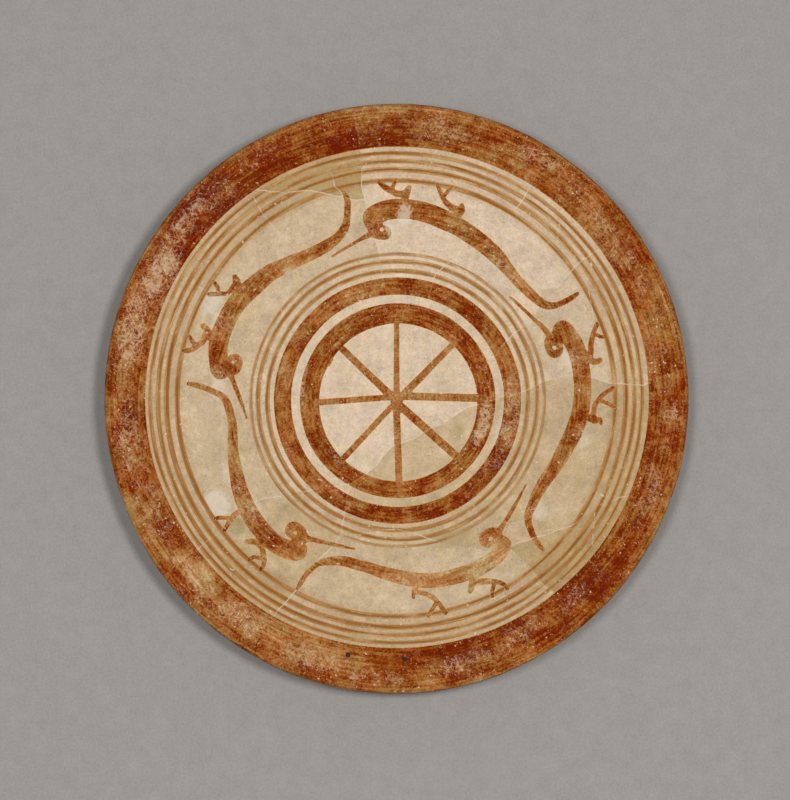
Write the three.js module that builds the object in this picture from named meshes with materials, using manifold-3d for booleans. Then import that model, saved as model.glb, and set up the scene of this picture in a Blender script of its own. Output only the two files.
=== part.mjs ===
// A wheel-thrown earthenware plate, painted with herons and mended from eleven sherds, a fill and a
// broken foot ring. Millimetres, +Z up. The origin is the centre of the foot's resting face, +Y is
// the top of the painted side as it is looked at from above, and +X is its right.

import * as THREE from "three";
import { mergeVertices } from "three/addons/utils/BufferGeometryUtils.js";
import Module from "manifold-3d";

const wasm = await Module();
wasm.setup();

// The plate's section, from the centre outwards.
const floorRadius = 60; // flat painted floor
const floorThickness = 8;
const wallRise = 22; // from the floor up to the ridge where the wall meets the rim
const wallThickness = 7.2; // measured straight down
const rimRadius = 150; // centre to the outermost line of the lip
const rimWidth = 22; // ridge to lip
const rimRise = 3; // the rim's slight crown above the ridge
const lipRadius = 3.2; // half the lip's rounded edge
const rimOval = 1; // how far drying drew the lip in along X and out along Y
const cornerBlend = 9; // how far each side of the floor's corner the curve into the wall starts

// The foot, a coil of clay thrown on to the underside.
const footInset = 16; // floor's edge to the foot's outer face
const footWidth = 7;
const footHeight = 6;
const footTaper = 1.2; // how much narrower each side is at the top
const footEdge = 1.2; // rounding beside the resting face
const lutingGap = 0.3; // between the foot's top and the underside

// The two holes for a hanging cord, bored before firing.
const holeRadius = 1.3;
const holeInset = 17; // lip to hole centre
const holeAngles = [259.4, 271.8]; // degrees

const joinGap = 0.3; // the width of a mended join
const beyond = 8; // how far a cut runs past the clay it cuts
const turnSteps = 72; // sides of each turned form
const holeSides = 16;

const footRadius = floorRadius - footInset;
const ridgeRadius = rimRadius - rimWidth;
const floorTop = footHeight + floorThickness;
const ridgeTop = floorTop + wallRise;
const plateTop = ridgeTop + rimRise;

const degrees = THREE.MathUtils.degToRad;
const polar = (radius, angle) => [radius * Math.cos(degrees(angle)), radius * Math.sin(degrees(angle))];
const pastRim = (angle) => polar(105, angle);
const holes = holeAngles.map((angle) => polar(100 - (100 * holeInset) / rimRadius, angle));

// Where three or more fractures meet, seen from above, in percent of the rim's radius.
const hub = [13.8, -8.9];
const west = [-15.5, -28.7];
const east = [31.9, -0.4];
const north = [11, 32.7];
const crown = [-10.7, 68.1];
const chipTop = [-11.7, 78.9];
const chipEnd = [-18.2, 69.1];
const fork = [35.6, 57.5];
const elbow = [49.6, 37.7];
const southWest = [-19.9, -47.4];
const south = [-0.2, -44.3];
const southEast = [38, -50.5];

// Each fracture runs from one meeting point to another, or out past the rim.
const fractures = {
  tondoWest: [hub, [6.7, -13.3], [-1.2, -16.4], [-5.9, -20.5], [-10.7, -25.3], west],
  tondoEast: [hub, [20.3, -4.9], [24.3, -2.8], east],
  tondoNorth: [hub, [13.1, 3.7], [12.5, 10.5], [11.7, 24.1], north],
  northCrown: [north, [-3.6, 36.7], [-5.6, 46.3], [-8.3, 58.9], crown],
  crownChip: [crown, [-11.6, 73.3], chipTop],
  chipRim: [chipTop, [-12.5, 84.4], [-14, 91.3], pastRim(99.1)],
  crownChipEnd: [crown, chipEnd],
  chipEdge: [chipTop, [-17.2, 78.7], [-22.3, 76.9], [-20.9, 72], chipEnd],
  chipEndRim: [chipEnd, [-29.1, 70.6], [-39.1, 70.3], [-49.9, 70.8], pastRim(133)],
  northFork: [north, [13.6, 43.2], [18.9, 48], [25.1, 51.9], fork],
  forkRim: [fork, [38.7, 62.1], [43.1, 68.4], pastRim(58)],
  forkElbow: [fork, [38, 51.9], [43.5, 44.5], elbow],
  elbowRim: [elbow, [55.7, 37.7], [59.1, 42.5], [62.2, 46.1], [69.3, 51], pastRim(36.8)],
  elbowEast: [elbow, [49.2, 31.3], [46.1, 26.1], [40.7, 23.5], [35.3, 17.3], [32.5, 8.8], east],
  eastRim: [east, [40.4, 2], [50.6, 6.1], [60.8, 8.1], [72.7, 5.1], [84.7, 4.3], [88.1, 7.1], pastRim(5.5)],
  westRim: [west, [-26.1, -30.1], [-36.3, -32.1], [-45.8, -33.8], [-52.3, -37.5], [-58.1, -44],
    [-66.9, -51.2], pastRim(217.3)],
  westSouth: [west, [-17.5, -38.2], southWest],
  southWestRim: [southWest, [-26.7, -55.3], [-33.5, -65.1], [-39.7, -71.6], [-42.4, -75.3],
    [-44.5, -78.8], [-46.9, -83.5], pastRim(240.6)],
  southFirst: [southWest, [-9, -45.1], south],
  southSecond: [south, [8.3, -46.4], [14.8, -48.8], [20.9, -50.5], [29.5, -51.9], southEast],
  holeRim: [south, [-2.2, -55.3], [-6.3, -65.5], [-11.7, -77.4], holes[0], pastRim(260.8)],
  southEastRim: [southEast, [44.1, -49.1], [48.9, -47.4], [55.7, -44.7], [61.1, -43], [67.3, -38.9],
    [76.1, -34.8], pastRim(340.9)],
  southEastShort: [southEast, [41.7, -54.3], [45.5, -57.3], [49.2, -63.1], [53.3, -66.5], pastRim(309)],
};

// Each sherd is walked anticlockwise along its fractures; a leading minus walks one backwards.
const sherds = {
  sherd_left: "tondoNorth northCrown crownChipEnd chipEndRim -westRim -tondoWest",
  sherd_upper_left: "chipRim -chipEndRim -chipEdge",
  sherd_top: "northFork forkRim -chipRim -crownChip -northCrown",
  sherd_upper_right: "forkElbow elbowRim -forkRim",
  sherd_inner_right: "tondoEast -elbowEast -forkElbow -northFork -tondoNorth",
  sherd_right: "eastRim -elbowRim elbowEast",
  sherd_lower_right: "tondoWest westSouth southFirst southSecond southEastRim -eastRim -tondoEast",
  sherd_lower_left: "westRim -southWestRim -westSouth",
  sherd_bottom_left: "southWestRim -holeRim -southFirst",
  sherd_bottom: "holeRim -southEastShort -southSecond",
  sherd_bottom_right: "southEastShort -southEastRim",
};
const fillWalk = "crownChip chipEdge -crownChipEnd";

const pieceOfFoot = {
  foot_left: "tondoNorth -tondoWest",
  foot_lower: "tondoWest -tondoEast",
  foot_right: "tondoEast -tondoNorth",
};

// A closed geometry as a solid that can be joined and cut.
function solid(geometry) {
  const bare = geometry.index ? geometry.toNonIndexed() : geometry.clone();
  bare.deleteAttribute("normal");
  bare.deleteAttribute("uv");
  const merged = mergeVertices(bare, 1e-4);
  const corners = merged.index.array;
  const triVerts = [];
  for (let i = 0; i < corners.length; i += 3) {
    const [a, b, c] = corners.slice(i, i + 3);
    if (a !== b && b !== c && c !== a) triVerts.push(a, b, c);
  }
  return new wasm.Manifold(new wasm.Mesh({
    numProp: 3,
    vertProperties: merged.attributes.position.array,
    triVerts: new Uint32Array(triVerts),
  }));
}

// A solid back as a geometry that three.js can show.
function geometryOf(body) {
  const { vertProperties, triVerts } = body.getMesh();
  const geometry = new THREE.BufferGeometry();
  geometry.setAttribute("position", new THREE.BufferAttribute(vertProperties, 3));
  geometry.setIndex(new THREE.BufferAttribute(triVerts, 1));
  const faceted = geometry.toNonIndexed();
  faceted.computeVertexNormals();
  return faceted;
}

// A section of [radius, height] points turned about the Z axis.
function turned(section) {
  const geometry = new THREE.LatheGeometry(section, turnSteps);
  geometry.rotateX(Math.PI / 2);
  return geometry;
}

// Pushes every point out along Y and in along X, more towards the rim, as drying warped the plate.
function warped(geometry) {
  const place = geometry.attributes.position;
  for (let i = 0; i < place.count; i += 1) {
    const [x, y] = [place.getX(i), place.getY(i)];
    const radius = Math.hypot(x, y);
    if (radius === 0) continue;
    const cosineTwice = (x * x - y * y) / (radius * radius);
    const grown = 1 - (rimOval * (radius / rimRadius) ** 3 * cosineTwice) / radius;
    place.setXY(i, x * grown, y * grown);
  }
  return geometry;
}

// Floor, wall and rim in one clay, up the underside and back over the painted side.
function plateSection() {
  const underWall = wallThickness - floorThickness;
  const blendRise = (wallRise * cornerBlend) / (ridgeRadius - floorRadius);
  const lipMiddle = plateTop - lipRadius;
  const section = new THREE.Path();
  section.moveTo(0, footHeight);
  section.lineTo(floorRadius - cornerBlend, footHeight);
  section.quadraticCurveTo(floorRadius, footHeight, floorRadius + cornerBlend, footHeight + blendRise - underWall);
  section.lineTo(ridgeRadius, ridgeTop - wallThickness);
  section.quadraticCurveTo(
    rimRadius - 2.6 * lipRadius, lipMiddle - 1.6 * lipRadius,
    rimRadius - lipRadius, lipMiddle - lipRadius);
  section.absarc(rimRadius - lipRadius, lipMiddle, lipRadius, -Math.PI / 2, Math.PI / 2, false);
  section.quadraticCurveTo(ridgeRadius + rimWidth / 2, plateTop, ridgeRadius, ridgeTop);
  section.lineTo(floorRadius + cornerBlend, floorTop + blendRise);
  section.quadraticCurveTo(floorRadius, floorTop, floorRadius - cornerBlend, floorTop);
  section.lineTo(0, floorTop);
  return section.getPoints(5);
}

// A low ring, wider at the resting face than where it meets the floor.
function footSection() {
  const inner = footRadius - footWidth;
  const top = footHeight - lutingGap;
  const section = new THREE.Path();
  section.moveTo(inner + footEdge, 0);
  section.lineTo(footRadius - footEdge, 0);
  section.quadraticCurveTo(footRadius, 0, footRadius, footEdge);
  section.lineTo(footRadius - footTaper, top);
  section.lineTo(inner + footTaper, top);
  section.lineTo(inner, footEdge);
  section.quadraticCurveTo(inner, 0, inner + footEdge, 0);
  return section.getPoints(3);
}

// A fracture's points in millimetres.
function fracture(name) {
  return fractures[name].map(([x, y]) => [(x * rimRadius) / 100, (y * rimRadius) / 100]);
}

// The plan outline of a walk along fractures. Where it runs past the rim it follows a circle round to
// the next fracture.
function outline(walk) {
  const points = [];
  for (const step of walk.split(" ")) {
    const run = fracture(step.replace("-", ""));
    if (step.startsWith("-")) run.reverse();
    const last = points.at(-1);
    if (last && Math.hypot(...last) > rimRadius && Math.hypot(...run[0]) > rimRadius) {
      points.push(...arc(last, run[0], Math.hypot(...last)));
    }
    points.push(...run);
  }
  return points.filter((point, i) => {
    const before = points.at(i - 1);
    return Math.hypot(point[0] - before[0], point[1] - before[1]) > joinGap;
  });
}

// Points on the circle of that radius, anticlockwise between two directions, ends left out.
function arc(from, to, radius) {
  const start = THREE.MathUtils.radToDeg(Math.atan2(from[1], from[0]));
  const end = THREE.MathUtils.radToDeg(Math.atan2(to[1], to[0]));
  const sweep = THREE.MathUtils.euclideanModulo(end - start, 360);
  const steps = Math.max(2, Math.ceil(sweep / 12));
  const points = [];
  for (let i = 1; i < steps; i += 1) points.push(polar(radius, start + (sweep * i) / steps));
  return points;
}

// An outline drawn in on every side, so that neighbours keep a join between them.
function drawnIn(points, distance) {
  return points.map((point, i) => {
    const before = points.at(i - 1);
    const after = points[(i + 1) % points.length];
    const [inA, inB] = [leftOf(before, point), leftOf(point, after)];
    const share = distance / (1 + inA[0] * inB[0] + inA[1] * inB[1]);
    return [point[0] + (inA[0] + inB[0]) * share, point[1] + (inA[1] + inB[1]) * share];
  });
}

// The unit vector to the left of the way from a to b.
function leftOf(a, b) {
  const length = Math.hypot(b[0] - a[0], b[1] - a[1]);
  return [(a[1] - b[1]) / length, (b[0] - a[0]) / length];
}

// An upright block on an outline, taller than the plate.
function block(points) {
  const shape = new THREE.Shape(drawnIn(points, joinGap / 2).map(([x, y]) => new THREE.Vector2(x, y)));
  const geometry = new THREE.ExtrudeGeometry(shape, { depth: plateTop + 2 * beyond, bevelEnabled: false });
  geometry.translate(0, 0, -beyond);
  return solid(geometry);
}

// The whole foot breaks on the three fractures of the floor, carried straight on past it.
function footOutline(walk) {
  const reach = footRadius + beyond;
  const carriedOn = (path) => {
    const inside = path.filter(([x, y]) => Math.hypot(x, y) < reach);
    const [x, y] = path.at(-1);
    return [...inside, polar(reach, THREE.MathUtils.radToDeg(Math.atan2(y, x)))];
  };
  const [out, back] = walk.split(" ").map((step) => carriedOn(fracture(step.replace("-", ""))));
  return [...out, ...arc(out.at(-1), back.at(-1), reach), ...back.reverse().slice(0, -1)];
}

function wholePlate() {
  let plate = solid(warped(turned(plateSection())));
  for (const angle of holeAngles) {
    const [x, y] = polar(rimRadius - holeInset, angle);
    const bore = new THREE.CylinderGeometry(holeRadius, holeRadius, plateTop + 2 * beyond, holeSides);
    bore.rotateX(Math.PI / 2);
    bore.translate(x, y, plateTop / 2);
    plate = plate.subtract(solid(bore));
  }
  return plate;
}

const clay = new THREE.MeshStandardMaterial({ color: 0xcaa878, roughness: 0.75, metalness: 0 });
const plaster = new THREE.MeshStandardMaterial({ color: 0xb9a06c, roughness: 0.9, metalness: 0 });
const footClay = new THREE.MeshStandardMaterial({ color: 0xb98455, roughness: 0.85, metalness: 0 });

const group = new THREE.Group();

function add(name, body, material) {
  const mesh = new THREE.Mesh(geometryOf(body), material);
  mesh.name = name;
  group.add(mesh);
}

const plate = wholePlate();
const foot = solid(turned(footSection()));

for (const [name, walk] of Object.entries(sherds)) {
  add(name, plate.intersect(block(outline(walk))), clay);
}
add("plaster_fill", plate.intersect(block(outline(fillWalk))), plaster);
for (const [name, walk] of Object.entries(pieceOfFoot)) {
  add(name, foot.intersect(block(footOutline(walk))), footClay);
}

export default group;
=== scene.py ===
"""A plate painted with five herons, broken and mended: its looks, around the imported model, in metres."""

import math

import bpy
import numpy as np
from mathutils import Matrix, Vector, geometry, noise


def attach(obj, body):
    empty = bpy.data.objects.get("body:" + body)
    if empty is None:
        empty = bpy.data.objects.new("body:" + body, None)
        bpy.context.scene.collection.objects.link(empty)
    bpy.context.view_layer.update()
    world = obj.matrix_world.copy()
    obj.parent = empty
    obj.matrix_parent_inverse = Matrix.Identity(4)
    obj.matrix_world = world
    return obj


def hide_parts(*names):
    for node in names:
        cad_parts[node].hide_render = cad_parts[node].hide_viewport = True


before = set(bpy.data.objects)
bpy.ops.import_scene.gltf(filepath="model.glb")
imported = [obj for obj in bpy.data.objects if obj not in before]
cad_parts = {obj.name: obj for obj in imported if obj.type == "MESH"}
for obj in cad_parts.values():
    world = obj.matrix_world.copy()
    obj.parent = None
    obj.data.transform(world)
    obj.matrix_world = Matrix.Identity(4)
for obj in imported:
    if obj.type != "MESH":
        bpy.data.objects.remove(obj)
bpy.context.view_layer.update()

MM = 0.001

# The plate's section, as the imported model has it.
FLOOR_RADIUS = 60 * MM
FLOOR_THICKNESS = 8 * MM
WALL_RISE = 22 * MM
WALL_THICKNESS = 7.2 * MM
RIM_RADIUS = 150 * MM
RIM_WIDTH = 22 * MM
RIM_RISE = 3 * MM
LIP_RADIUS = 3.2 * MM
RIM_OVAL = 1 * MM
CORNER_BLEND = 9 * MM
FOOT_INSET = 16 * MM
FOOT_WIDTH = 7 * MM
FOOT_HEIGHT = 6 * MM
FOOT_TAPER = 1.2 * MM
LUTING_GAP = 0.3 * MM
HOLE_RADIUS = 1.3 * MM
HOLE_INSET = 17 * MM
HOLE_ANGLES = (259.4, 271.8)

FOOT_RADIUS = FLOOR_RADIUS - FOOT_INSET
RIDGE_RADIUS = RIM_RADIUS - RIM_WIDTH
FLOOR_TOP = FOOT_HEIGHT + FLOOR_THICKNESS
RIDGE_TOP = FLOOR_TOP + WALL_RISE
PLATE_TOP = RIDGE_TOP + RIM_RISE
SLOPE = WALL_RISE / (RIDGE_RADIUS - FLOOR_RADIUS)
LIP_START = RIM_RADIUS - LIP_RADIUS
LIP_MIDDLE = PLATE_TOP - LIP_RADIUS
# Plan distances are unrolled round the lip, so that its outermost line lies this far out.
REACH = LIP_START + LIP_RADIUS * math.pi / 2

# How finely the clay is meshed.
FRIEZE_SPACING = 0.8 * MM
TOP_SPACING = 1.5 * MM
UNDER_SPACING = 3.2 * MM
FRACTURE_STEP = 0.9 * MM
FOOT_STEP = 1.6 * MM
JOIN_WIDTH = 0.07 * MM
JOIN_REACH = 6 * MM
FAR_OUTSIDE = -10 * MM
BORE_SIDES = 24

# How the painted side is worn below its turned form.
WAVE_DEPTH = 0.12 * MM
MARK_DEPTH = 0.05 * MM
THROWING_PITCH = 5.3 * MM
CHIP_DEPTH = 0.25 * MM
CHIP_REACH = 0.9 * MM

# The film of adhesive is a little narrower than the join, and lies this far below the clay.
FILM_HALF_WIDTH = JOIN_WIDTH / 2 * 0.96
FILM_SUNK = 0.02 * MM

# Where three or more fractures meet, in percent of the rim's radius.
HUB = (13.8, -8.9)
WEST = (-15.5, -28.7)
EAST = (31.9, -0.4)
NORTH = (11, 32.7)
CROWN = (-10.7, 68.1)
CHIP_TOP = (-11.7, 78.9)
CHIP_END = (-18.2, 69.1)
FORK = (35.6, 57.5)
ELBOW = (49.6, 37.7)
SOUTH_WEST = (-19.9, -47.4)
SOUTH = (-0.2, -44.3)
SOUTH_EAST = (38, -50.5)


def polar(radius, degrees):
    angle = math.radians(degrees)
    return (radius * math.cos(angle), radius * math.sin(angle))


def past_rim(degrees):
    return polar(105, degrees)


HOLES = [polar(100 - 100 * HOLE_INSET / RIM_RADIUS, degrees) for degrees in HOLE_ANGLES]

FRACTURES = {
    "tondo_west": [HUB, (6.7, -13.3), (-1.2, -16.4), (-5.9, -20.5), (-10.7, -25.3), WEST],
    "tondo_east": [HUB, (20.3, -4.9), (24.3, -2.8), EAST],
    "tondo_north": [HUB, (13.1, 3.7), (12.5, 10.5), (11.7, 24.1), NORTH],
    "north_crown": [NORTH, (-3.6, 36.7), (-5.6, 46.3), (-8.3, 58.9), CROWN],
    "crown_chip": [CROWN, (-11.6, 73.3), CHIP_TOP],
    "chip_rim": [CHIP_TOP, (-12.5, 84.4), (-14, 91.3), past_rim(99.1)],
    "crown_chip_end": [CROWN, CHIP_END],
    "chip_edge": [CHIP_TOP, (-17.2, 78.7), (-22.3, 76.9), (-20.9, 72), CHIP_END],
    "chip_end_rim": [CHIP_END, (-29.1, 70.6), (-39.1, 70.3), (-49.9, 70.8), past_rim(133)],
    "north_fork": [NORTH, (13.6, 43.2), (18.9, 48), (25.1, 51.9), FORK],
    "fork_rim": [FORK, (38.7, 62.1), (43.1, 68.4), past_rim(58)],
    "fork_elbow": [FORK, (38, 51.9), (43.5, 44.5), ELBOW],
    "elbow_rim": [ELBOW, (55.7, 37.7), (59.1, 42.5), (62.2, 46.1), (69.3, 51), past_rim(36.8)],
    "elbow_east": [ELBOW, (49.2, 31.3), (46.1, 26.1), (40.7, 23.5), (35.3, 17.3), (32.5, 8.8), EAST],
    "east_rim": [EAST, (40.4, 2), (50.6, 6.1), (60.8, 8.1), (72.7, 5.1), (84.7, 4.3), (88.1, 7.1),
                 past_rim(5.5)],
    "west_rim": [WEST, (-26.1, -30.1), (-36.3, -32.1), (-45.8, -33.8), (-52.3, -37.5), (-58.1, -44),
                 (-66.9, -51.2), past_rim(217.3)],
    "west_south": [WEST, (-17.5, -38.2), SOUTH_WEST],
    "south_west_rim": [SOUTH_WEST, (-26.7, -55.3), (-33.5, -65.1), (-39.7, -71.6), (-42.4, -75.3),
                       (-44.5, -78.8), (-46.9, -83.5), past_rim(240.6)],
    "south_first": [SOUTH_WEST, (-9, -45.1), SOUTH],
    "south_second": [SOUTH, (8.3, -46.4), (14.8, -48.8), (20.9, -50.5), (29.5, -51.9), SOUTH_EAST],
    "hole_rim": [SOUTH, (-2.2, -55.3), (-6.3, -65.5), (-11.7, -77.4), HOLES[0], past_rim(260.8)],
    "south_east_rim": [SOUTH_EAST, (44.1, -49.1), (48.9, -47.4), (55.7, -44.7), (61.1, -43),
                       (67.3, -38.9), (76.1, -34.8), past_rim(340.9)],
    "south_east_short": [SOUTH_EAST, (41.7, -54.3), (45.5, -57.3), (49.2, -63.1), (53.3, -66.5),
                         past_rim(309)],
}

# The clay's age goes from its inner value to its outer one across the painted rings.
AGE_START = 55 * MM
AGE_STRETCH = 23 * MM
# Each sherd is walked anticlockwise along its fractures. With it go, from 0 to 1, how yellow its clay
# has aged inside the rings and outside them, and how far its slip has faded.
SHERDS = {
    "sherd_left": ("tondo_north north_crown crown_chip_end chip_end_rim -west_rim -tondo_west",
                   0.0, 0.45, 0.7),
    "sherd_upper_left": ("chip_rim -chip_end_rim -chip_edge", 0.85, 0.85, 0.0),
    "sherd_top": ("north_fork fork_rim -chip_rim -crown_chip -north_crown", 0.0, 0.0, 0.4),
    "sherd_upper_right": ("fork_elbow elbow_rim -fork_rim", 0.0, 0.0, 0.3),
    "sherd_inner_right": ("tondo_east -elbow_east -fork_elbow -north_fork -tondo_north", 0.05, 0.05, 0.3),
    "sherd_right": ("east_rim -elbow_rim elbow_east", 0.1, 0.28, 0.35),
    "sherd_lower_right": ("tondo_west west_south south_first south_second south_east_rim -east_rim "
                          "-tondo_east", 0.62, 0.66, 0.4),
    "sherd_lower_left": ("west_rim -south_west_rim -west_south", 0.3, 0.75, 0.8),
    "sherd_bottom_left": ("south_west_rim -hole_rim -south_first", 0.5, 0.5, 0.75),
    "sherd_bottom": ("hole_rim -south_east_short -south_second", 0.5, 0.42, 0.2),
    "sherd_bottom_right": ("south_east_short -south_east_rim", 0.95, 0.95, 0.0),
}
# The joins that hardly show on the painted side.
FAINT_JOINS = ("south_east_short", "hole_rim", "chip_rim")
# The plaster that fills a gap in the rim, described as the sherds are.
FILL = ("crown_chip chip_edge -crown_chip_end", 1.1, 1.1, 0.2)
# The foot's arcs, each with the fractures at its two ends.
FEET = {
    "foot_left": ("tondo_north", "tondo_west"),
    "foot_lower": ("tondo_west", "tondo_east"),
    "foot_right": ("tondo_east", "tondo_north"),
}

# The painter's brush strokes. A stroke is a list of (degrees round the plate, distance from its middle,
# half the stroke's width), the last two in pixels of the picture, which show this much of the frieze.
PIXEL = 0.5133 * MM
HERONS = {
    "top": {
        "body": [
            (30, 209, 2), (29.9, 200, 2.8), (30.1, 190, 3), (30.7, 183, 3.5), (32.1, 177, 4.1),
            (35, 173, 4.6), (40, 170.3, 5.2), (45, 170, 5.4), (50, 172, 6.3), (55, 175, 7.8),
            (60, 177.5, 8.3), (65, 180, 8.7), (70, 183, 9), (75, 185.5, 9.6), (80, 188.3, 9.7),
            (85, 190, 9.6), (90, 190.2, 9.6), (94, 188.3, 9.8), (97.6, 183.5, 9.6),
            (97.2, 177, 8.6), (96.8, 170, 7.4), (94.2, 167.6, 7),
        ],
        "beak": [
            (98.5, 168, 3), (99.7, 167, 2.5), (102.4, 165, 1.8), (104.9, 162.8, 1.4), (110, 159.7, 1.3),
            (114.2, 157.6, 0.9),
        ],
        "eye": (95, 170.8, 2),
        "legs": [
            [(87.8, 199, 2.8), (87.3, 205, 3.3), (86.6, 211, 2.2)],
            [(87.5, 205, 3), (89.5, 204.5, 2.6), (91.5, 207.5, 2.6), (93.3, 211.5, 2.4),
             (94.8, 217.5, 1.6)],
            [(91.3, 209, 1.7), (90.2, 218, 1.3)],
            [(71.8, 193, 4), (71.2, 199, 3.8), (71.3, 204, 1.8)],
            [(72, 198.5, 3), (74.3, 199.5, 2.7), (76.3, 203.5, 2.1), (77.5, 208, 1.8),
             (79.3, 217.5, 1.3)],
            [(77, 206.5, 1.5), (75.4, 218, 1.4)],
        ],
    },
    "upper_left": {
        "body": [
            (104.5, 213.5, 2), (103.9, 205, 3.1), (104.5, 196, 3.4), (105.3, 188, 3.5),
            (106.3, 181.5, 4.2), (108.3, 175.5, 4.5), (111, 171.5, 5), (115, 169.2, 6),
            (120, 169, 6.2), (125, 171.5, 6.8), (130, 174.7, 7.4), (135, 179, 8.4), (140, 181.5, 9.3),
            (145, 184.5, 9.5), (150, 187, 9.4), (155, 187.5, 9.4), (160, 187.5, 9.6), (164, 186, 9.8),
            (168, 182.5, 9.5), (171, 179.3, 8.8), (169.8, 173.5, 7.5), (169, 167, 8),
            (167, 166.7, 8),
        ],
        "beak": [
            (171, 168, 3), (172.5, 167, 2.6), (175, 163.3, 2.2), (180, 157.1, 1.8), (187.2, 151.6, 0.9),
        ],
        "eye": (167.3, 168.3, 1.5),
        "legs": [
            [(161.5, 197, 3.5), (160.2, 202, 3.2), (159.5, 206.5, 2.6)],
            [(161.5, 201.5, 3), (163.8, 202.5, 2.6), (165.7, 207.5, 2.6), (167, 212, 2.3),
             (167.6, 218, 1.8)],
            [(165.2, 209, 1.8), (163.3, 217.5, 1.5)],
            [(145.3, 194, 3.4), (143.8, 198.5, 3.6), (143.1, 202.5, 2.2)],
            [(145.5, 198, 2.6), (148, 199.5, 1.6), (149.5, 206, 1.8), (151, 214, 2)],
            [(149.6, 206.5, 1.6), (148, 212, 1.6), (147.6, 217.5, 1.5)],
        ],
    },
    "lower_left": {
        "body": [
            (176.1, 208.5, 2.2), (176.4, 200, 2.9), (176.9, 192, 3), (177.8, 184, 3.1), (178.6, 178, 3.3),
            (180.2, 172, 3.8), (183, 168.5, 4.1), (187, 166.8, 4.5), (190, 166.7, 4.7), (194, 169.2, 5.2),
            (198, 172.2, 5.6), (202, 174.8, 6.3), (206, 177.5, 7.2), (210, 181, 8), (215, 184.3, 8.7),
            (220, 187, 9.2), (225, 188.3, 9.3), (230, 188.6, 9.3), (234, 186, 9.6), (237.3, 181.5, 9),
            (236, 175, 7.5), (234.6, 167.3, 8.5), (232, 166.5, 8.8),
        ],
        "beak": [
            (236.5, 166.5, 3.2), (240, 163, 2.4), (245, 159.4, 1.8), (250, 156.7, 1.3),
            (254.3, 155.5, 0.8),
        ],
        "eye": (233, 167.8, 1.8),
        "legs": [
            [(227, 196.5, 3), (225.3, 201.5, 2.6), (224, 206.5, 2.4)],
            [(226, 200.5, 2.6), (228, 200.5, 2.4), (230.2, 206, 2.4), (231.5, 211.5, 1.9),
             (231.8, 218, 1.5)],
            [(230, 209, 1.7), (228.3, 212.5, 1.7), (227.8, 218, 1.6)],
            [(215.8, 195.5, 2.4), (215.9, 200, 2.4), (216.5, 206, 2.3), (217.7, 217, 1.6)],
            [(216, 204, 1.4), (214.3, 212.5, 1.7), (213.8, 217, 1.5)],
        ],
    },
    "bottom": {
        "body": [
            (242.6, 214, 1.8), (242.7, 206, 2.6), (242.9, 198, 2.6), (243.6, 190, 2.7), (244.8, 182, 2.9),
            (247, 176.5, 4.2), (250, 172, 5), (253, 170, 5.3), (256, 170, 5.5), (260, 170.5, 5.6),
            (265, 173.5, 6.2), (270, 177, 7), (275, 181, 7.6), (280, 184.3, 7.5), (285, 186, 7.8),
            (290, 187, 8), (295, 188, 8), (300, 187, 8), (303.5, 185, 8), (306.3, 181, 7.2),
            (305.4, 174, 7.6), (305, 167.5, 9), (303, 167, 9),
        ],
        "beak": [
            (308, 166.5, 3.2), (311, 164.3, 2.1), (315, 161, 2), (320, 157.9, 1.5), (326.5, 155.2, 0.8),
        ],
        "eye": (303.8, 168.5, 2.2),
        "legs": [
            [(293, 196, 3.8), (291.8, 201, 3), (290.7, 205.5, 2)],
            [(292.5, 199.8, 3), (295.5, 202, 2.8), (298, 207, 2.2), (299.7, 213, 1.9), (300, 219, 1.8)],
            [(297.7, 208.5, 1.7), (296.5, 213, 1.7), (295.7, 218.5, 1.6)],
            [(275.5, 190, 2.2), (275, 194, 1.8), (274.8, 198.5, 1.4)],
            [(275.5, 193.5, 2), (278.3, 196.5, 2), (280.3, 201.5, 2.2), (281.5, 208, 2),
             (282.7, 218.5, 2)],
            [(281, 207, 1.7), (279.5, 213, 1.6), (278.2, 218.5, 1.6)],
        ],
    },
    "right": {
        "body": [
            (313.9, 210, 2.5), (314, 203, 2.8), (314.6, 194, 3.2), (315.7, 186, 3.4), (316.8, 180, 3.6),
            (318.5, 175.5, 4.2), (321.5, 172.5, 4.8), (325, 170, 5.5), (328, 169.3, 6), (331, 169.5, 6.3),
            (335, 171.5, 6.8), (340, 174.3, 7.8), (345, 177, 8.4), (350, 181, 8.8), (355, 184, 8.8),
            (360, 186, 8.8), (365, 187, 8.8), (370, 187.3, 8.8), (375, 187, 9), (379, 184.5, 9),
            (382.8, 180.3, 9), (381, 174, 7.6), (380, 166.8, 8.6), (377.4, 166.4, 8.6),
        ],
        "beak": [
            (382.8, 166, 3), (386, 163.7, 2.4), (390, 160, 1.8), (395, 156.6, 1.4), (399, 154.9, 1.3),
            (402.2, 153.4, 1),
        ],
        "eye": (378, 166.5, 2),
        "legs": [
            [(371.7, 197, 2.8), (370.3, 201.5, 2.8), (370.5, 207, 2.4)],
            [(372.8, 199.3, 2.6), (375.8, 202.5, 2.3), (378.6, 208.5, 2.1), (380.3, 214, 1.9)],
            [(377.7, 209.5, 1.4), (376.7, 213, 1.5), (376.3, 218, 1.5)],
            [(354.1, 194, 3.2), (353.5, 200, 2.8), (353.9, 204.5, 2), (352.8, 206, 1.6)],
            [(354.3, 197.7, 2.2), (357.8, 198.5, 2.2), (359.6, 202.5, 2.2), (361.1, 207.5, 1.9),
             (362.6, 217, 1.7)],
            [(359.1, 204.5, 1.5), (358.6, 210, 1.5), (357.5, 217.5, 1.5)],
        ],
    },
}

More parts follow.
